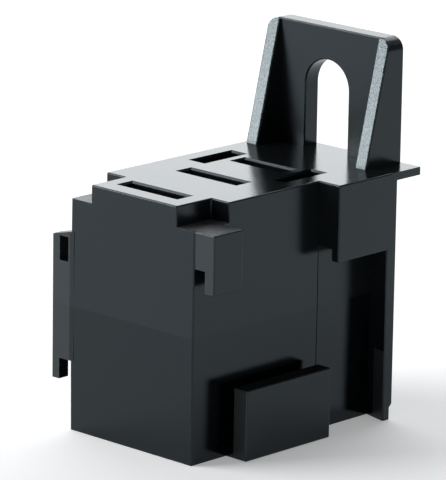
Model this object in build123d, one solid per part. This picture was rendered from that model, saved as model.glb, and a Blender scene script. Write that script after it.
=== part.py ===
"""Five-way relay socket with a slotted mounting tab, built as a housing and five blade contacts.

Layout while modelling: X across the socket from the middle of the body, Y from the front face back to the
mounting tab, Z up from the wire side to the relay side. Each piece is moved by the same step when it is
written, so the finished socket has its origin at the bottom centre of its bounding box.
"""
import os
from build123d import *

# ---- Housing body ----------------------------------------------------------------------------------------
body_width = 16.45
body_depth = 25.6
body_height = 24.8
parting_height = 12.4        # the mould parts here, and the walls draft inwards above and below it
draft_angle = 0.4
body_edge_radius = 0.2
small_edge_radius = 0.15

# ---- Features on the right-hand side ----------------------------------------------------------------------
side_reach = 2.65            # of the lower lip
hook_reach = 2.45           # of the hook block
panel_reach = 2.6            # of the panel, rib and flange
hook_front = 0.15            # hook block beside the front face
hook_depth = 3.9
hook_drop = 7.8              # from the body's top to the block's bottom
hook_slot_width = 1.3
hook_slot_height = 2.2
lip_front = 4.7              # upward lip low on the wall
lip_length = 11.7
lip_height = 7.0
lip_thickness = 1.75
lip_web_height = 0.9
panel_front = 17.15          # overhanging panel under the mounting flange
panel_depth = 8.3
panel_drop = 7.6             # from the body's top to the panel's bottom
panel_lip_thickness = 0.85
panel_lip_height = 1.2
rib_thickness = 1.35         # rib down the rear edge of the wall, at its outer end
rib_root_thickness = 0.7     # at the wall, so that the rib hooks a little forward
rib_notch_depth = 0.45       # in the rib's lower rear corner
rib_notch_height = 1.2
wall_step = 0.05             # the wall behind the panel's front plane stands this much proud

# ---- Rail on the left-hand side ---------------------------------------------------------------------------
rail_reach = 2.45
rail_thickness = 1.25
rail_bottom = 4.8
rail_drop = 5.7              # from the body's top to the rail's
rail_top_rise = 0.6          # the rail's top slopes up to the wall by this much
rail_tongue_width = 1.0
rail_notch_height = 2.1
rail_window_height = 2.45
rail_window_wall = 0.25      # left between the window and the body

# ---- Notches in the front top corners ---------------------------------------------------------------------
left_notch_width = 2.7
left_notch_drop = 1.8
right_notch_width = 2.4
right_notch_drop = 2.0
notch_depth = 4.7

# ---- Mounting flange, tab and gussets ---------------------------------------------------------------------
flange_thickness = 0.8
flange_overhang = 3.2        # behind the body's rear face
tab_left_inset = 0.5         # the tab's right-hand side is flush with the body
tab_thickness = 1.9
tab_height = 12.4            # above the body's top
tab_corner_radius = 1.3
tab_slot_width = 5.65
tab_slot_height = 9.1        # above the body's top
gusset_thickness = 1.45
gusset_foot = 3.2            # in front of the tab
gusset_top_gap = 0.1         # below the tab's top

# ---- Contact positions ------------------------------------------------------------------------------------
blade_thickness = 0.8
front_row = 3.05             # first cross-wise blade, behind the front face
row_pitch = 8.0              # to the second cross-wise blade
rear_pitch = 6.9             # from the second to the third
coil_wall = 0.2              # between the rear cavity and the two lengthwise ones
coil_row = 17.2              # middle of the lengthwise blades, behind the front face

# ---- Contacts ---------------------------------------------------------------------------------------------
strip_thickness = 0.35
blade_gap = 0.05             # between a relay blade and the contact's floor or rolls
wide_contact_width = 7.1     # takes a 6.3 mm blade
narrow_contact_width = 5.6   # takes a 4.8 mm blade
roll_radius = 0.9
grip_length = 7.6
neck_length = 2.8
neck_width = 2.6
lance_width = 1.6
lance_rise = 0.3
wire_barrel_length = 3.2
wire_barrel_radius = 1.2
barrel_gap = 0.8
grip_barrel_length = 2.8
grip_barrel_radius = 1.25
contact_clearance = 0.1      # all round a contact in its cavity
lance_clearance = 0.1
contact_top_clearance = 0.15

# ---- Openings in the housing ------------------------------------------------------------------------------
mouth_height = 2.4           # top wall, which stops the contacts
mouth_thickness = 1.8
wide_mouth_length = 7.7
rear_mouth_length = 6.5      # the rear one lies between the two lengthwise mouths
narrow_mouth_length = 5.7
mouth_bevel = 0.2
lance_pocket_height = 3.2
lance_pocket_extra = 0.25    # deeper than the channel that the lance passes through
core_roof = 4.8              # above the blind pockets between the cavities, open at the wire side
core_wall = 1.1

# ---- Worked out from the sizes above ----------------------------------------------------------------------
half_width = body_width / 2
side_plane = half_width + side_reach
hook_plane = half_width + hook_reach
panel_plane = half_width + panel_reach
overall_depth = body_depth + flange_overhang
hook_bottom = body_height - hook_drop
panel_bottom = body_height - panel_drop
rail_top = body_height - rail_drop
core_top = body_height - core_roof
tab_front = overall_depth - tab_thickness
tab_left = -half_width + tab_left_inset
panel_back = panel_front + panel_depth
rib_front = panel_back - rib_thickness
floor_near = blade_thickness / 2 + blade_gap
floor_far = floor_near + strip_thickness
roll_centre = -floor_near - 0.3
roll_reach = roll_radius - roll_centre
contact_top = body_height - mouth_height - contact_top_clearance
neck_top = contact_top - grip_length
wire_barrel_top = neck_top - neck_length
grip_barrel_top = wire_barrel_top - wire_barrel_length - barrel_gap
contact_bottom = grip_barrel_top - grip_barrel_length
rear_row = front_row + row_pitch + rear_pitch
cavity_near = roll_reach + contact_clearance
cavity_far = floor_far + lance_rise + lance_clearance + lance_pocket_extra
coil_offset = wide_contact_width / 2 + contact_clearance + coil_wall + cavity_far


def block(x0, x1, y0, y1, z0, z1):
    """Box between two corners."""
    size = (x1 - x0, y1 - y0, z1 - z0)
    return Pos((x0 + x1) / 2, (y0 + y1) / 2, (z0 + z1) / 2) * Box(*size)


def soft_block(x0, x1, y0, y1, z0, z1, radius=small_edge_radius):
    """Box between two corners with all its edges rounded."""
    return fillet(block(x0, x1, y0, y1, z0, z1).edges(), radius)


# ---- Contacts ---------------------------------------------------------------------------------------------
def roll_section(side, width):
    """One spring side of a blade grip: a wall off the floor, rolled inwards until it faces the blade."""
    centre_x = side * (width / 2 - roll_radius)
    ring = Circle(roll_radius) - Circle(roll_radius - strip_thickness)
    ring -= Pos(0, roll_radius) * Rectangle(2 * roll_radius, 2 * roll_radius)
    wall_length = floor_far - roll_centre
    wall = Pos(side * (roll_radius - strip_thickness / 2), wall_length / 2) * Rectangle(
        strip_thickness, wall_length)
    tip_length = -floor_near - roll_centre
    tip = Pos(-side * (roll_radius - strip_thickness / 2), tip_length / 2) * Rectangle(
        strip_thickness, tip_length)
    return Pos(centre_x, roll_centre) * (ring + wall + tip)


def barrel_section(radius):
    """Open U that is later closed on a wire, standing on the contact's floor."""
    centre_y = floor_far - radius
    ring = Circle(radius) - Circle(radius - strip_thickness)
    ring -= Pos(0, -radius) * Rectangle(2 * radius, 2 * radius)
    wall_length = centre_y + roll_reach
    section = ring
    for side in (-1, 1):
        wall_x = side * (radius - strip_thickness / 2)
        section += Pos(wall_x, -wall_length / 2) * Rectangle(strip_thickness, wall_length)
    return Pos(0, centre_y) * section


def contact(width):
    """Stamped blade contact about its blade's mid-plane; the blade enters from above, floor towards +Y."""
    floor = Pos(0, (floor_near + floor_far) / 2) * Rectangle(width - strip_thickness, strip_thickness)
    grip = floor + roll_section(-1, width) + roll_section(1, width)
    part = Pos(0, 0, neck_top) * extrude(grip, grip_length)
    part += block(-neck_width / 2, neck_width / 2, floor_near, floor_far, contact_bottom, neck_top + 1)
    wire_barrel = Pos(0, 0, wire_barrel_top - wire_barrel_length) * extrude(
        barrel_section(wire_barrel_radius), wire_barrel_length)
    grip_barrel = Pos(0, 0, contact_bottom) * extrude(
        barrel_section(grip_barrel_radius), grip_barrel_length)
    lance_profile = Plane.YZ * Polyline(
        (floor_far - 0.1, wire_barrel_top + 0.3), (floor_far + lance_rise, wire_barrel_top + 0.3),
        (floor_far, neck_top + 0.5), (floor_far - 0.1, neck_top + 0.5), close=True)
    lance = extrude(make_face(lance_profile), lance_width / 2, both=True)
    return part + wire_barrel + grip_barrel + lance


def cavity(width, mouth_length):
    """Space that a contact and its blade take in the housing, in the contact's own position."""
    near = -cavity_near
    far = floor_far + contact_clearance
    half = width / 2 + contact_clearance
    ceiling = body_height - mouth_height
    space = block(-half, half, near, far, -1, ceiling)
    channel_half = lance_width / 2 + lance_clearance
    channel_far = floor_far + lance_rise + lance_clearance
    space += block(-channel_half, channel_half, far - 0.1, channel_far, -1, neck_top + 1)
    pocket_bottom = wire_barrel_top
    space += block(-channel_half, channel_half, far - 0.1, channel_far + lance_pocket_extra,
                   pocket_bottom, pocket_bottom + lance_pocket_height)
    mouth = block(-mouth_length / 2, mouth_length / 2, -mouth_thickness / 2, mouth_thickness / 2,
                  ceiling - 0.5, body_height + 1)
    bevel_top = Pos(0, 0, body_height) * Rectangle(
        mouth_length + 2 * mouth_bevel, mouth_thickness + 2 * mouth_bevel)
    bevel = extrude(bevel_top, -2 * mouth_bevel, taper=45)
    return space + mouth + bevel


right_coil = Pos(coil_offset, coil_row, 0) * Rot(0, 0, 90)
left_coil = Pos(-coil_offset, coil_row, 0) * Rot(0, 0, -90)

# Terminal number, place of its blade, contact width and mouth length.
stations = {
    "contact_30": (Pos(0, front_row, 0), wide_contact_width, wide_mouth_length),
    "contact_87a": (Pos(0, front_row + row_pitch, 0), wide_contact_width, wide_mouth_length),
    "contact_87": (Pos(0, rear_row, 0), wide_contact_width, rear_mouth_length),
    "contact_85": (right_coil, narrow_contact_width, narrow_mouth_length),
    "contact_86": (left_coil, narrow_contact_width, narrow_mouth_length),
}


# ---- Housing ----------------------------------------------------------------------------------------------
def parting_section():
    """Outline of the body where the mould parts."""
    outline = Pos(0, body_depth / 2) * Rectangle(body_width, body_depth)
    return Pos(0, 0, parting_height) * fillet(outline.vertices(), body_edge_radius)


def upper_body():
    """Body above the parting line, with two front corner notches and its upper edges rounded."""
    upper = extrude(parting_section(), body_height - parting_height, taper=draft_angle)
    upper -= block(-half_width - 1, -half_width + left_notch_width, -1, notch_depth,
                   body_height - left_notch_drop, body_height + 1)
    upper -= block(half_width - right_notch_width, half_width + 1, -1, notch_depth,
                   body_height - right_notch_drop, body_height + 1)
    notch_corners = upper.edges().filter_by(lambda edge: abs(edge.tangent_at(0.5).Z) > 0.99)
    notch_corners = notch_corners.filter_by(lambda edge: edge.length < notch_depth)
    upper = fillet(notch_corners, small_edge_radius)
    rim = upper.edges().filter_by_position(Axis.Z, body_height - 0.01, body_height + 0.01)
    return fillet(rim, small_edge_radius)


def lower_body():
    """Body below the parting line, drafted inwards to the wire side."""
    return extrude(parting_section(), -parting_height, taper=draft_angle)


def hook_block():
    """Block beside the front face, whose downward leg leaves a slot against the wall."""
    top = body_height - right_notch_drop
    back = hook_front + hook_depth
    outer = soft_block(half_width - 1, hook_plane, hook_front, back, hook_bottom, top)
    slot = block(half_width - 2, half_width + hook_slot_width, 0, back + 1,
                 hook_bottom - 1, hook_bottom + hook_slot_height)
    return outer - slot


def lower_lip():
    """Upright lip low on the wall, joined to it by a web along the bottom."""
    lip_back = lip_front + lip_length
    lip = soft_block(side_plane - lip_thickness, side_plane, lip_front, lip_back, 0, lip_height)
    web = block(half_width - 0.5, side_plane - lip_thickness / 2,
                lip_front + small_edge_radius, lip_back - small_edge_radius, 0, lip_web_height)
    return lip + web


def rear_rib():
    """Rib below the panel's rear edge, thicker at its outer end and notched at its lower rear corner."""
    inner = half_width - 1
    root = panel_back - rib_root_thickness
    outline = Polyline((inner, root), (half_width, root), (panel_plane, rib_front),
                       (panel_plane, panel_back), (inner, panel_back), close=True)
    rib = extrude(make_face(outline), panel_bottom + 1, dir=(0, 0, 1))
    rib = fillet(rib.edges().filter_by(Axis.Z).group_by(Axis.X)[-1], small_edge_radius)
    notch_front = panel_back - rib_notch_depth
    notch = Plane.YZ * Polyline(
        (notch_front, -1), (notch_front, rib_notch_height),
        (panel_back + 1, rib_notch_height + rib_notch_depth + 1), (panel_back + 1, -1), close=True)
    return rib - extrude(make_face(notch), 2 * side_plane, both=True)


def side_panel():
    """Overhanging panel with a thin lip along its bottom."""
    panel = soft_block(half_width - 1, panel_plane, panel_front, panel_back, panel_bottom, body_height)
    panel -= block(half_width - 2, panel_plane - panel_lip_thickness, panel_front - 1, rib_front,
                   panel_bottom - 1, panel_bottom + panel_lip_height)
    return panel + rear_rib()


def proud_wall(body):
    """Wall behind the panel's front plane, standing a little proud and drafted like the body."""
    area = block(half_width - 1, panel_plane, panel_front, panel_back, 0.3, panel_bottom + 2)
    return (Pos(wall_step, 0, 0) * body) & area


def left_rail():
    """Thin rail flush with the front face: a tongue with an open notch below it and a window near its top."""
    outer = -half_width - rail_reach
    root = -half_width + 0.5
    profile = Plane.XZ * Polyline(
        (outer, rail_bottom), (root, rail_bottom), (root, rail_top + rail_top_rise),
        (-half_width, rail_top + rail_top_rise), (outer, rail_top), close=True)
    rail = extrude(make_face(profile), rail_thickness, dir=(0, 1, 0))
    rail = fillet(rail.edges().filter_by(Axis.Z).group_by(Axis.X)[0], small_edge_radius)
    tongue_inner = outer + rail_tongue_width
    behind = rail_thickness + 1
    notch = block(tongue_inner, root + 1, -1, behind, rail_bottom - 1, rail_bottom + rail_notch_height)
    window = block(tongue_inner, -half_width - rail_window_wall, -1, behind,
                   rail_top - rail_window_height, rail_top)
    return rail - notch - window


def tab_plate():
    """Slotted plate with two rounded top corners and softened edges."""
    top = body_height + tab_height
    plate = block(tab_left, half_width, tab_front, overall_depth, body_height - flange_thickness, top)
    plate = fillet(plate.edges().filter_by(Axis.Y).sort_by(Axis.Z)[-2:], tab_corner_radius)
    slot_radius = tab_slot_width / 2
    slot_centre = body_height + tab_slot_height - slot_radius
    plate -= block(-slot_radius, slot_radius, tab_front - 1, overall_depth + 1, body_height, slot_centre)
    plate -= Pos(0, tab_front, slot_centre) * Rot(90, 0, 0) * Cylinder(slot_radius, 4 * tab_thickness)
    rims = plate.edges().filter_by_position(Axis.Z, body_height + 0.1, top + 0.1)
    rims = rims.filter_by(lambda edge: abs(edge.tangent_at(0.5).Y) < 0.1)
    return fillet(rims, small_edge_radius)


def gusset(inner_x, outline):
    """Triangular web in front of the tab, trimmed to the tab's own outline."""
    top = body_height + tab_height - gusset_top_gap
    foot = tab_front - gusset_foot
    profile = Plane.YZ * Polyline(
        (foot, body_height - 0.5), (foot, body_height), (tab_front - 0.2, top), (tab_front + 0.5, top),
        (tab_front + 0.5, body_height - 0.5), close=True)
    web = extrude(make_face(profile), gusset_thickness, dir=(1, 0, 0))
    slant = web.edges().filter_by(lambda edge: 0.1 < abs(edge.tangent_at(0.5).Y) < 0.9)
    return (Pos(inner_x, 0, 0) * fillet(slant, small_edge_radius)) & outline


def mounting_tab():
    """Flange across the rear top edge, slotted tab standing on it and a gusset at each side of the tab."""
    flange = block(-half_width, panel_plane, body_depth - 1, overall_depth,
                   body_height - flange_thickness, body_height)
    rear = flange.edges().filter_by_position(Axis.Y, overall_depth - 0.1, overall_depth + 0.1)
    tab = fillet(rear, small_edge_radius) + tab_plate()
    outline = block(tab_left, half_width, tab_front - gusset_foot - 1, overall_depth,
                    body_height - 1, body_height + tab_height)
    outline = fillet(outline.edges().filter_by(Axis.Y).sort_by(Axis.Z)[-2:], tab_corner_radius)
    for inner_x in (tab_left, half_width - gusset_thickness):
        tab += gusset(inner_x, outline)
    return tab


def cores():
    """Blind pockets from the wire side that keep the walls between the cavities even."""
    middle_row = front_row + row_pitch
    front_core = block(-half_width + 2.4, half_width - 2.4, front_row + cavity_far + core_wall,
                       middle_row - cavity_near - core_wall, -1, core_top)
    middle_half = coil_offset - floor_far - lance_rise - 2 * core_wall
    middle_core = block(-middle_half, middle_half, middle_row + cavity_far + core_wall,
                        rear_row - cavity_near - core_wall, -1, core_top)
    rear_core = block(-half_width + 1.6, half_width - 1.6, rear_row + cavity_far + core_wall,
                      body_depth - 1.4, -1, core_top)
    return front_core + middle_core + rear_core


def housing():
    body = upper_body() + lower_body()
    part = body + proud_wall(body)
    part += hook_block() + lower_lip() + side_panel() + left_rail() + mounting_tab()
    part -= cores()
    for place, width, mouth_length in stations.values():
        part -= place * cavity(width, mouth_length)
    return part


# ---- Writing the pieces -----------------------------------------------------------------------------------
def main():
    os.makedirs("parts", exist_ok=True)
    to_origin = Pos((rail_reach - side_reach) / 2, -overall_depth / 2, 0)
    pieces = {"socket_housing": housing()}
    for name, (place, width, _) in stations.items():
        pieces[name] = place * contact(width)
    for name, piece in pieces.items():
        export_step(to_origin * piece, f"parts/{name}.step")


main()
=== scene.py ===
"""Finish and studio for a relay socket: a moulded nylon housing that holds stamped brass contacts."""
import functools
import math

import bpy
from mathutils import Matrix, Vector


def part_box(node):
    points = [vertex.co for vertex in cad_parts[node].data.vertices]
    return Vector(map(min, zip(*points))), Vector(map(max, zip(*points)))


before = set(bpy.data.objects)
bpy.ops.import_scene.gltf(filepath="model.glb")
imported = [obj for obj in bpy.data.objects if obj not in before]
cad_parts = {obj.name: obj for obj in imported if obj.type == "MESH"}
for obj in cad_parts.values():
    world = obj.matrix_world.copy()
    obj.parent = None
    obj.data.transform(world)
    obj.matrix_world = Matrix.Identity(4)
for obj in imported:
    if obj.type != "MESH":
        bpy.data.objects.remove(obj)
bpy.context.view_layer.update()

bl_info = {
    "name": "Relay socket",
    "version": (1, 0, 0),
    "blender": (4, 5, 0),
    "location": "3D View > Sidebar > Relay socket",
    "description": "Finishes a relay socket's housing and contacts and lights them on a pale floor",
    "category": "Object",
}

MM = 0.001
HOUSING = "socket_housing"
CONTACTS = sorted(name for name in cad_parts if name.startswith("contact_"))


# ---- Settings ---------------------------------------------------------------------------------------------
class NylonSettings(bpy.types.PropertyGroup):
    """Look of the moulded housing."""

    # The two half colours differ as painted light: the lighter relay half colour paints the brighter shading
    # of the faces above the parting line, and the darker wire half colour paints shade on the faces below
    # it.
    relay_half_painted_light_colour: bpy.props.FloatVectorProperty(
        name="Relay half colour", description="Body colour of the faces made by the relay half of the mould",
        subtype="COLOR", size=3, min=0, max=1, default=(0.0064, 0.0078, 0.0088))
    wire_half_painted_shade_colour: bpy.props.FloatVectorProperty(
        name="Wire half colour", description="Body colour of the faces made by the wire half of the mould",
        subtype="COLOR", size=3, min=0, max=1, default=(0.0014, 0.0018, 0.0024))
    # Painted sheen: this pale colour is mixed into the pitted edges and ledges, and in shares into the lip's
    # front end and the front ends of the rail and the hook block, as a painted highlight for the light that
    # these catch.
    painted_sheen_colour: bpy.props.FloatVectorProperty(
        name="Pitted colour", description="Body colour of the pitted edges and ledges",
        subtype="COLOR", size=3, min=0, max=1, default=(0.085, 0.090, 0.094))
    scuff_colour: bpy.props.FloatVectorProperty(
        name="Scuff colour", description="Colour of rubbed corners", subtype="COLOR",
        size=3, min=0, max=1, default=(0.06, 0.066, 0.07))
    gloss_tint: bpy.props.FloatVectorProperty(
        name="Gloss tint", description="Tint of the gloss seen square on", subtype="COLOR",
        size=3, min=0, max=1, default=(0.70, 0.89, 1.0))
    refraction: bpy.props.FloatProperty(
        name="Refractive index", description="Strength of the gloss", default=1.405, min=1, max=2)
    relay_half_roughness: bpy.props.FloatProperty(
        name="Relay half roughness", subtype="FACTOR", default=0.19, min=0, max=1,
        description="Roughness of the faces made by the relay half of the mould")
    wire_half_roughness: bpy.props.FloatProperty(
        name="Wire half roughness", subtype="FACTOR", default=0.11, min=0, max=1,
        description="Roughness of the faces made by the wire half of the mould")
    seat_roughness: bpy.props.FloatProperty(
        name="Seat roughness", description="Roughness of the top face that the relay sits on",
        default=0.14, min=0, max=1, subtype="FACTOR")
    tab_roughness: bpy.props.FloatProperty(
        name="Tab roughness", description="Roughness of the tab's front face and flat top edge",
        default=0.27, min=0, max=1, subtype="FACTOR")
    side_roughness: bpy.props.FloatProperty(
        name="Side roughness", description="Roughness of the front ends of the rail and the hook block",
        default=0.25, min=0, max=1, subtype="FACTOR")
    edge_roughness: bpy.props.FloatProperty(
        name="Edge roughness", subtype="FACTOR", default=0.11, min=0, max=1,
        description="Roughness of the tab's rounded corners and the gussets' sloping edges")
    ledge_roughness: bpy.props.FloatProperty(
        name="Ledge roughness", description="Roughness of the small ledges and the lip's front end",
        default=0.36, min=0, max=1, subtype="FACTOR")
    parting_height: bpy.props.FloatProperty(
        name="Parting height", description="Height at which the mould parts", default=12.4 * MM,
        min=0, unit="LENGTH", precision=5)
    grain_size: bpy.props.FloatProperty(
        name="Grain size", description="Width of one grain of the mould texture", default=0.13 * MM,
        min=0.01 * MM, unit="LENGTH", precision=6)
    grain_depth: bpy.props.FloatProperty(
        name="Grain depth", description="Depth of the mould texture", default=0.007 * MM,
        min=0, unit="LENGTH", precision=7)
    pit_size: bpy.props.FloatProperty(
        name="Pit size", description="Width of one pit on the edges and ledges",
        default=0.22 * MM, min=0.01 * MM, unit="LENGTH", precision=6)
    edge_pit_depth: bpy.props.FloatProperty(
        name="Edge pit depth", description="Depth of the pits on the tab's and gussets' edges",
        default=0.010 * MM, min=0, unit="LENGTH", precision=7)
    ledge_pit_depth: bpy.props.FloatProperty(
        name="Ledge pit depth", description="Depth of the pits on the small ledges",
        default=0.07 * MM, min=0, unit="LENGTH", precision=7)
    sink_depth: bpy.props.FloatProperty(
        name="Sink depth", description="Depth of the slow waves where the moulding shrank",
        default=0.006 * MM, min=0, unit="LENGTH", precision=7)
    wear_width: bpy.props.FloatProperty(
        name="Wear width", description="How far wear reaches in from a corner", default=0.22 * MM,
        min=0, unit="LENGTH", precision=6)


class BrassSettings(bpy.types.PropertyGroup):
    """Look of the stamped contacts."""

    colour: bpy.props.FloatVectorProperty(
        name="Colour", description="Colour of clean strip", subtype="COLOR",
        size=3, min=0, max=1, default=(0.80, 0.62, 0.31))
    tarnish_colour: bpy.props.FloatVectorProperty(
        name="Tarnish colour", description="Colour of handled strip", subtype="COLOR",
        size=3, min=0, max=1, default=(0.62, 0.44, 0.20))
    roughness: bpy.props.FloatProperty(
        name="Roughness", description="Roughness of clean strip",
        default=0.24, min=0, max=1, subtype="FACTOR")


class StageSettings(bpy.types.PropertyGroup):
    """Floor, lamps and camera."""

    floor_colour: bpy.props.FloatVectorProperty(
        name="Floor colour", description="Colour of the floor", subtype="COLOR",
        size=3, min=0, max=1, default=(0.97, 0.975, 0.98))
    azimuth: bpy.props.FloatProperty(
        name="Azimuth", description="Camera's turn about the object, from the front towards the right",
        default=math.radians(43.57), subtype="ANGLE", unit="ROTATION")
    elevation: bpy.props.FloatProperty(
        name="Elevation", description="Camera's height above the level", default=math.radians(14.55),
        subtype="ANGLE", unit="ROTATION")
    roll: bpy.props.FloatProperty(
        name="Roll", description="Camera's turn about its own view", default=math.radians(0.92),
        subtype="ANGLE", unit="ROTATION")
    distance: bpy.props.FloatProperty(
        name="Distance", description="Camera to the point it looks at", default=0.414, unit="LENGTH")
    lens: bpy.props.FloatProperty(
        name="Lens", description="Focal length in millimetres on a 36 mm frame", default=320.8)
    aim: bpy.props.FloatVectorProperty(
        name="Aim", description="Point that the camera looks at", size=3, subtype="TRANSLATION",
        default=(-1.486 * MM, -0.437 * MM, 17.726 * MM))


# ---- Material helpers -------------------------------------------------------------------------------------
class Graph:
    """A material's node tree, with a short way to add and join nodes."""

    def __init__(self, name):
        self.material = bpy.data.materials.new(name)
        self.material.use_nodes = True
        self.tree = self.material.node_tree
        self.tree.nodes.clear()

    def add(self, kind, inputs=None, **options):
        node = self.tree.nodes.new(kind)
        for key, value in options.items():
            setattr(node, key, value)
        for key, value in (inputs or {}).items():
            socket = node.inputs[key]
            if isinstance(value, bpy.types.NodeSocket):
                self.tree.links.new(value, socket)
            else:
                socket.default_value = value
        return node

    def math(self, operation, first, second=0.0, clamp=False):
        node = self.add("ShaderNodeMath", {0: first, 1: second}, operation=operation, use_clamp=clamp)
        return node.outputs[0]

    def noise(self, place, feature_size, detail=2.0, roughness=0.5):
        node = self.add("ShaderNodeTexNoise", {
            "Vector": place, "Scale": 1.0 / feature_size, "Detail": detail, "Roughness": roughness})
        return node.outputs["Fac"]

    def spread(self, value, low, high, new_low=0.0, new_high=1.0):
        node = self.add("ShaderNodeMapRange", {
            "Value": value, "From Min": low, "From Max": high, "To Min": new_low, "To Max": new_high})
        return node.outputs["Result"]

    def split(self, vector):
        return self.add("ShaderNodeSeparateXYZ", {0: vector}).outputs[:]

    def above(self, value, level):
        return self.math("GREATER_THAN", value, level)

    def below(self, value, level):
        return self.math("LESS_THAN", value, level)

    def both(self, *tests):
        return functools.reduce(lambda first, second: self.math("MULTIPLY", first, second), tests)

    def either(self, *tests):
        return functools.reduce(lambda first, second: self.math("MAXIMUM", first, second), tests)

    def mix(self, factor, first, second):
        node = self.add("ShaderNodeMix", {"Factor": factor, 6: first, 7: second}, data_type="RGBA")
        return node.outputs[2]

    def bump(self, height, depth, normal=None):
        inputs = {"Height": height, "Distance": depth, "Strength": 1.0}
        if normal is not None:
            inputs["Normal"] = normal
        return self.add("ShaderNodeBump", inputs).outputs["Normal"]

    def finish(self, shader):
        self.add("ShaderNodeOutputMaterial", {"Surface": shader.outputs[0]})
        return self.material


def rgba(colour):
    return (*colour, 1.0)


def give_material(node_names, material):
    for name in node_names:
        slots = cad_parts[name].data.materials
        slots.clear()
        slots.append(material)


# ---- Housing ----------------------------------------------------------------------------------------------
TAB_HEIGHT = 12.4 * MM          # above the body's top
TAB_THICKNESS = 1.9 * MM
LIP_THICKNESS = 1.75 * MM
LIP_HEIGHT = 7 * MM
LIP_REACH = 2.6 * MM            # of the side pieces past the right-hand wall
RAIL_REACH = 2.4 * MM           # of the rail past the left-hand wall
LEDGE_TOP = 1 * MM              # the small ledges lie between these two depths below the body's top
LEDGE_BOTTOM = 8 * MM
SIDE_FRONT_DEPTH = 1 * MM       # how far back the side pieces' front ends may lie
SEAT_MARGIN = 0.3 * MM
TAB_MARGIN = 0.1 * MM
FACING = 0.6                    # least part of a face's normal along the way that it is said to face
SQUARE = 0.99                   # the same for the tab's upright front
LEVEL = 0.9                     # the same for the tab's flat top edge
LEANING = 0.5                   # the same for the tab's rounded corners, which lie below LEVEL
WAVE_SIZE = 6 * MM
CLOUD_SIZE = 1.1 * MM
SPECK_SIZE = 0.25 * MM
LIP_PAINTED_SHEEN = 0.42                # share of the painted sheen colour on the lip's front end, a painted highlight on a face that lies in shade
SIDE_PAINTED_SHEEN = 0.26               # the same painted sheen on the front ends of the rail and the hook block
RUB_ROUGHNESS = 0.12            # added where a corner is rubbed
CLOUD_ROUGHNESS = 0.015         # slow change either way


def mould_areas(graph, place, normal, box):
    """Masks of areas with a finish of their own, some with a painted sheen too: seat, tab, side fronts,
    edges, ledges and lip's end.
    """
    body_top = box[1].z - TAB_HEIGHT
    x, y, z = graph.split(place)
    _, normal_y, normal_z = graph.split(normal)
    tab_plane = box[1].y - TAB_THICKNESS - TAB_MARGIN
    upward = graph.above(normal_z, FACING)
    seat = graph.both(upward, graph.above(z, body_top - SEAT_MARGIN), graph.below(z, body_top + SEAT_MARGIN))
    above_seat = graph.above(z, body_top + SEAT_MARGIN)
    gusset = graph.both(above_seat, graph.below(normal_y, -FACING), graph.below(y, tab_plane))
    tab_top = graph.both(above_seat, graph.above(normal_z, LEVEL))
    corners = graph.both(above_seat, graph.above(normal_z, LEANING), graph.below(normal_z, LEVEL))
    edges = graph.either(gusset, corners)
    tab_front = graph.both(above_seat, graph.below(normal_y, -SQUARE), graph.above(y, tab_plane))
    tab = graph.either(tab_front, tab_top)
    ledge = graph.both(upward, graph.below(z, body_top - LEDGE_TOP), graph.above(z, body_top - LEDGE_BOTTOM))
    lip_end = graph.both(graph.below(normal_y, -FACING), graph.above(x, box[1].x - LIP_THICKNESS),
                         graph.below(z, LIP_HEIGHT))
    side_piece = graph.either(graph.below(x, box[0].x + RAIL_REACH), graph.above(x, box[1].x - LIP_REACH))
    side_front = graph.both(side_piece, graph.below(normal_y, -FACING),
                            graph.below(y, box[0].y + SIDE_FRONT_DEPTH))
    return seat, tab, side_front, edges, ledge, lip_end


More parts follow.
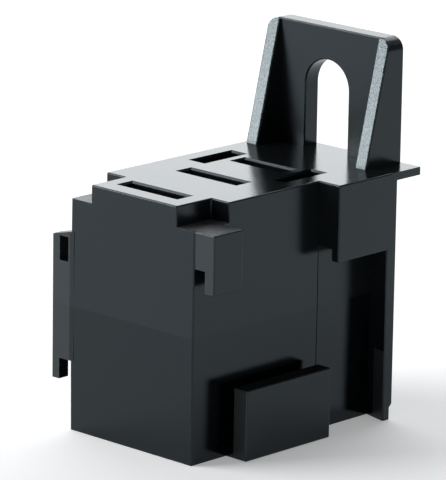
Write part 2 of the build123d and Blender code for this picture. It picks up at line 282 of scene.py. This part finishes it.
def nylon(settings, box):
    """Black moulded nylon: fine grain, slow sink waves, rubbed corners, pitted edges and ledges; a painted
    sheen on the edges, ledges and front ends, and painted light that makes the faces above the parting line
    lighter than those below.
    """
    graph = Graph("black_nylon")
    place = graph.add("ShaderNodeTexCoord").outputs["Object"]
    normal = graph.add("ShaderNodeNewGeometry").outputs["True Normal"]
    grain = graph.noise(place, settings.grain_size, 3.0, 0.65)
    pits = graph.noise(place, settings.pit_size, 3.0, 0.6)
    waves = graph.noise(place, WAVE_SIZE, 1.0, 0.4)
    cloud = graph.noise(place, CLOUD_SIZE, 4.0, 0.6)
    speck = graph.noise(place, SPECK_SIZE, 4.0, 0.75)
    seat, tab, sides, edges, ledges, lip_end = mould_areas(graph, place, normal, box)

    waved = graph.bump(waves, settings.sink_depth)
    grained = graph.bump(grain, settings.grain_depth, waved)
    pit_depth = graph.either(graph.math("MULTIPLY", edges, settings.edge_pit_depth),
                             graph.math("MULTIPLY", ledges, settings.ledge_pit_depth))
    pitted = graph.bump(pits, pit_depth, grained)

    hollow = graph.add("ShaderNodeAmbientOcclusion", {"Distance": settings.wear_width},
                       samples=6, inside=True, only_local=True)
    rubbed = graph.spread(hollow.outputs["AO"], 0.92, 0.55)
    rubbed = graph.math("MULTIPLY", rubbed, graph.spread(speck, 0.46, 0.66), clamp=True)
    relay_half = graph.above(graph.split(place)[2], settings.parting_height)
    # Painted light: the body colour is lighter above the parting height and darker below it, for the
    # brighter and darker shading of the two halves.
    body = graph.mix(relay_half, rgba(settings.wire_half_painted_shade_colour), rgba(settings.relay_half_painted_light_colour))
    fibres = graph.spread(speck, 0.3, 0.7, 0.55, 1.45)
    mottled = graph.add("ShaderNodeVectorMath", {0: body, "Scale": fibres}, operation="SCALE").outputs[0]
    # Painted sheen: the pale colour is mixed in by the pit pattern on edges and ledges, and in fixed shares
    # on the lip's front end and the side fronts, as a painted highlight.
    painted_sheen_mask = graph.math("MULTIPLY", graph.either(edges, ledges), graph.spread(pits, 0.35, 0.65))
    painted_sheen_mask = graph.either(painted_sheen_mask, graph.math("MULTIPLY", lip_end, LIP_PAINTED_SHEEN),
                           graph.math("MULTIPLY", sides, SIDE_PAINTED_SHEEN))
    body_with_painted_sheen = graph.mix(painted_sheen_mask, mottled, rgba(settings.painted_sheen_colour))
    colour = graph.mix(rubbed, body_with_painted_sheen, rgba(settings.scuff_colour))

    smooth = graph.spread(relay_half, 0.0, 1.0, settings.wire_half_roughness, settings.relay_half_roughness)
    smooth = graph.math("ADD", smooth, graph.spread(cloud, 0.3, 0.7, -CLOUD_ROUGHNESS, CLOUD_ROUGHNESS))
    rough = [graph.math("MULTIPLY", area, value) for area, value in (
        (seat, settings.seat_roughness), (tab, settings.tab_roughness), (sides, settings.side_roughness),
        (edges, settings.edge_roughness), (ledges, settings.ledge_roughness),
        (lip_end, settings.ledge_roughness))]
    plain = graph.math("SUBTRACT", 1.0, graph.either(seat, tab, sides, edges, ledges, lip_end))
    roughness = graph.either(graph.math("MULTIPLY", smooth, plain), *rough)
    roughness = graph.math("ADD", roughness, graph.math("MULTIPLY", rubbed, RUB_ROUGHNESS))
    shader = graph.add("ShaderNodeBsdfPrincipled", {
        "Base Color": colour, "Roughness": roughness, "Normal": pitted, "IOR": settings.refraction,
        "Specular Tint": rgba(settings.gloss_tint)})
    return graph.finish(shader)


class RELAY_OT_housing(bpy.types.Operator):
    """Give the housing its moulded nylon finish"""

    bl_idname = "relay_socket.housing"
    bl_label = "Housing"

    def execute(self, context):
        give_material([HOUSING], nylon(context.scene.relay_nylon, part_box(HOUSING)))
        return {"FINISHED"}


# ---- Contacts ---------------------------------------------------------------------------------------------
LINE_SIZE = 0.05 * MM
LINE_STRETCH = 0.06             # lines run on along the strip by the inverse of this
LINE_DEPTH = 0.0015 * MM
PATCH_SIZE = 1.4 * MM
DENT_SIZE = 0.3 * MM
DENT_DEPTH = 0.006 * MM
TARNISH_ROUGHNESS = 0.16        # added where the strip is tarnished


def brass(settings):
    """Stamped brass strip: drawn lines along the strip, patches of tarnish and small dents."""
    graph = Graph("contact_brass")
    place = graph.add("ShaderNodeTexCoord").outputs["Object"]
    along = graph.add("ShaderNodeMapping", {"Vector": place, "Scale": (1.0, 1.0, LINE_STRETCH)}).outputs[0]
    lines = graph.noise(along, LINE_SIZE, 3.0, 0.7)
    patches = graph.noise(place, PATCH_SIZE, 4.0, 0.6)
    dents = graph.noise(place, DENT_SIZE, 2.0, 0.5)
    tarnish = graph.spread(patches, 0.45, 0.68)
    colour = graph.mix(tarnish, rgba(settings.colour), rgba(settings.tarnish_colour))
    roughness = graph.spread(lines, 0.3, 0.7, settings.roughness - 0.06, settings.roughness + 0.1)
    roughness = graph.math("ADD", roughness, graph.math("MULTIPLY", tarnish, TARNISH_ROUGHNESS), clamp=True)
    lined = graph.bump(lines, LINE_DEPTH)
    dented = graph.bump(dents, DENT_DEPTH, lined)
    shader = graph.add("ShaderNodeBsdfPrincipled", {
        "Base Color": colour, "Roughness": roughness, "Normal": dented, "Metallic": 1.0})
    return graph.finish(shader)


class RELAY_OT_contacts(bpy.types.Operator):
    """Give the five contacts their stamped brass finish"""

    bl_idname = "relay_socket.contacts"
    bl_label = "Contacts"

    def execute(self, context):
        give_material(CONTACTS, brass(context.scene.relay_brass))
        return {"FINISHED"}


# ---- Stage ------------------------------------------------------------------------------------------------
def direction(azimuth, elevation):
    """Unit vector from the object towards a lamp or the camera."""
    level = math.cos(elevation)
    return Vector((math.sin(azimuth) * level, -math.cos(azimuth) * level, math.sin(elevation)))


FLOOR_REACH = 3.0
FLOOR_DROP = 0.02 * MM          # below the socket, so that the two do not share a plane
FLOOR_GLOW = 0.27               # light of its own that the floor shows to the camera and to gloss
LAMP_DISTANCE = 0.9
LENS_FRAME = 36                 # width in millimetres that the lens is given for
COOL = (0.97, 0.99, 1.0)
WARM = (1.0, 0.965, 0.93)
WORLD_STRENGTH = 0.20


def floor_sheet(colour):
    """Large matt floor that the socket stands on."""
    corners = [(-1, -1), (1, -1), (1, 1), (-1, 1)]
    mesh = bpy.data.meshes.new("studio_floor")
    mesh.from_pydata([(x * FLOOR_REACH, y * FLOOR_REACH, -FLOOR_DROP) for x, y in corners],
                     [], [(0, 1, 2, 3)])
    sheet = bpy.data.objects.new("studio_floor", mesh)
    bpy.context.collection.objects.link(sheet)
    graph = Graph("studio_floor")
    place = graph.add("ShaderNodeTexCoord").outputs["Object"]
    shade = graph.spread(graph.noise(place, 0.4, 1.0), 0.3, 0.7, 0.99, 1.0)
    tone = graph.mix(shade, (0, 0, 0, 1), rgba(colour))
    matt = graph.add("ShaderNodeBsdfDiffuse", {"Color": tone})
    glow = graph.add("ShaderNodeEmission", {"Color": tone, "Strength": 1.0})
    ray = graph.add("ShaderNodeLightPath")
    seen = graph.either(ray.outputs["Is Camera Ray"], ray.outputs["Is Glossy Ray"],
                        ray.outputs["Is Transmission Ray"])
    dark = graph.add("ShaderNodeEmission", {"Strength": 0.0})
    share = graph.math("MULTIPLY", seen, FLOOR_GLOW)
    lift = graph.add("ShaderNodeMixShader", {0: share, 1: dark.outputs[0], 2: glow.outputs[0]})
    mesh.materials.append(graph.finish(graph.add("ShaderNodeAddShader", {
        0: matt.outputs[0], 1: lift.outputs[0]})))


def softbox(name, azimuth, elevation, width, height, radiance, colour):
    """Rectangular area lamp that faces the object, placed by degrees and as bright as its radiance says."""
    data = bpy.data.lights.new(name, "AREA")
    data.shape = "RECTANGLE"
    data.size = width
    data.size_y = height
    data.energy = radiance * math.pi * width * height
    data.color = colour
    lamp = bpy.data.objects.new(name, data)
    bpy.context.collection.objects.link(lamp)
    back = direction(math.radians(azimuth), math.radians(elevation))
    lamp.location = back * LAMP_DISTANCE
    lamp.rotation_euler = back.to_track_quat("Z", "Y").to_euler()


def world_light(colour, strength):
    world = bpy.data.worlds.new("studio")
    bpy.context.scene.world = world
    world.use_nodes = True
    background = world.node_tree.nodes["Background"]
    background.inputs["Color"].default_value = rgba(colour)
    background.inputs["Strength"].default_value = strength


def camera(settings):
    """Long lens aimed just above the middle of the socket."""
    data = bpy.data.cameras.new("camera")
    data.lens = settings.lens
    data.sensor_width = LENS_FRAME
    data.clip_start = 0.01
    view = bpy.data.objects.new("camera", data)
    bpy.context.collection.objects.link(view)
    back = direction(settings.azimuth, settings.elevation)
    turn = back.to_track_quat("Z", "Y").to_matrix() @ Matrix.Rotation(settings.roll, 3, "Z")
    view.rotation_euler = turn.to_euler()
    view.location = Vector(settings.aim) + back * settings.distance
    bpy.context.scene.camera = view


class RELAY_OT_stage(bpy.types.Operator):
    """Put the socket on a pale floor under soft lamps, and aim the camera"""

    bl_idname = "relay_socket.stage"
    bl_label = "Stage"

    def execute(self, context):
        settings = context.scene.relay_stage
        floor_sheet(settings.floor_colour)
        world_light(COOL, WORLD_STRENGTH)
        softbox("back_softbox", 222, 27, width=1.3, height=0.8, radiance=2.35, colour=COOL)
        softbox("low_softbox", -44, 8.8, width=0.46, height=0.13, radiance=17.0, colour=WARM)
        softbox("fill_softbox", -49, 36, width=0.56, height=0.5, radiance=4.8, colour=COOL)
        camera(settings)
        context.scene.view_settings.view_transform = "Standard"
        return {"FINISHED"}


# ---- Add-on -----------------------------------------------------------------------------------------------
class RELAY_PT_panel(bpy.types.Panel):
    bl_idname = "RELAY_PT_panel"
    bl_label = "Relay socket"
    bl_space_type = "VIEW_3D"
    bl_region_type = "UI"
    bl_category = "Relay socket"

    def draw(self, context):
        for operator in OPERATORS:
            self.layout.operator(operator.bl_idname)
        for settings in (context.scene.relay_nylon, context.scene.relay_brass, context.scene.relay_stage):
            column = self.layout.column()
            for name in settings.__annotations__:
                column.prop(settings, name)


OPERATORS = (RELAY_OT_housing, RELAY_OT_contacts, RELAY_OT_stage)
SETTINGS = {"relay_nylon": NylonSettings, "relay_brass": BrassSettings, "relay_stage": StageSettings}


def register():
    for item in (*SETTINGS.values(), *OPERATORS, RELAY_PT_panel):
        bpy.utils.register_class(item)
    for name, group in SETTINGS.items():
        setattr(bpy.types.Scene, name, bpy.props.PointerProperty(type=group))


def unregister():
    for name in SETTINGS:
        delattr(bpy.types.Scene, name)
    for item in (RELAY_PT_panel, *reversed(OPERATORS), *reversed(SETTINGS.values())):
        bpy.utils.unregister_class(item)


def main():
    register()
    bpy.ops.relay_socket.housing()
    bpy.ops.relay_socket.contacts()
    bpy.ops.relay_socket.stage()


if __name__ == "__main__":
    main()
